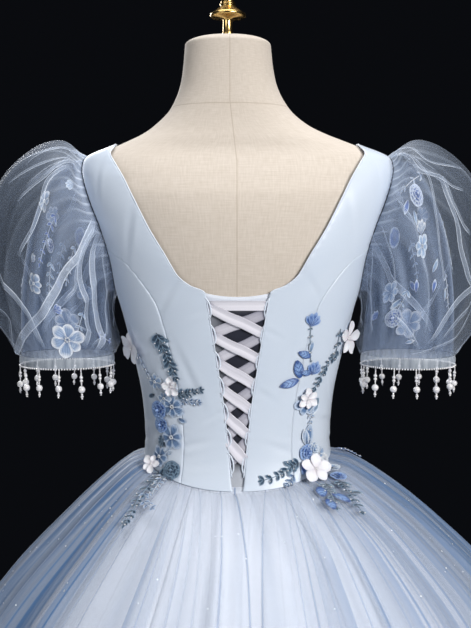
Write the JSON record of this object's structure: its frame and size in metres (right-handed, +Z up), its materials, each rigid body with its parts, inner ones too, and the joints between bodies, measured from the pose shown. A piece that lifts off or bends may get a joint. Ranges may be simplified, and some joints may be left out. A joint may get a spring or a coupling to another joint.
{
  "type": "ball gown on a dress form",
  "caption": "Laced satin ball gown with puff sleeves, bead fringe and a full gathered tulle skirt, worn by a limbless dress form on a round foot.",
  "frame": {"origin": "on the floor, under the middle of the skirt's hem", "axes": "+Z up; the gown's back faces -Y and its front +Y; +X is to the right seen from behind"},
  "size_m": [1.2799, 1.2747, 1.7043],
  "materials": {
    "satin": "soft sheen satin",
    "skirt_satin": "soft sheen satin",
    "tulle": "sheer tulle with fine glitter",
    "organza": "crisp sheer organza",
    "net": "embroidered net",
    "ribbon": "satin ribbon",
    "spray": "corded and sequined applique",
    "flower": "matte lace",
    "pearl": "pearl",
    "linen": "matte linen",
    "brass": "polished",
    "stand_wood": "satin varnish"
  },
  "bodies": {
    "root": {"bodice_front": "satin", "bodice_side_front_left": "satin", "bodice_side_front_right": "satin", "bodice_side_back_left": "satin", "bodice_side_back_right": "satin", "bodice_back_left": "satin", "bodice_back_right": "satin", "modesty_panel": "satin", "lacing_loops_left": "satin", "lacing_loops_right": "satin", "lacing_ribbon_a": "ribbon", "lacing_ribbon_b": "ribbon", "skirt_base_1": "skirt_satin", "skirt_base_2": "skirt_satin", "skirt_base_3": "skirt_satin", "skirt_base_4": "skirt_satin", "skirt_base_5": "skirt_satin", "skirt_base_6": "skirt_satin", "skirt_base_7": "skirt_satin", "skirt_base_8": "skirt_satin", "skirt_tulle_1": "tulle", "skirt_tulle_2": "tulle", "skirt_tulle_3": "tulle", "skirt_tulle_4": "tulle", "skirt_tulle_5": "tulle", "skirt_tulle_6": "tulle", "skirt_tulle_7": "tulle", "skirt_tulle_8": "tulle", "sleeve_puff_left": "organza", "sleeve_puff_right": "organza", "sleeve_net_left": "net", "sleeve_net_right": "net", "sleeve_band_left": "satin", "sleeve_band_right": "satin", "bead_fringe_left": "pearl", "bead_fringe_right": "pearl", "applique_left": "spray", "applique_right": "spray", "flower_left_upper": "flower", "flower_left_middle": "flower", "flower_left_lower": "flower", "flower_right_upper": "flower", "flower_right_middle": "flower", "flower_right_lower": "flower", "form_torso": "linen", "form_finial": "brass", "form_pole": "brass", "form_base": "stand_wood"}
  },
  "joints": []
}
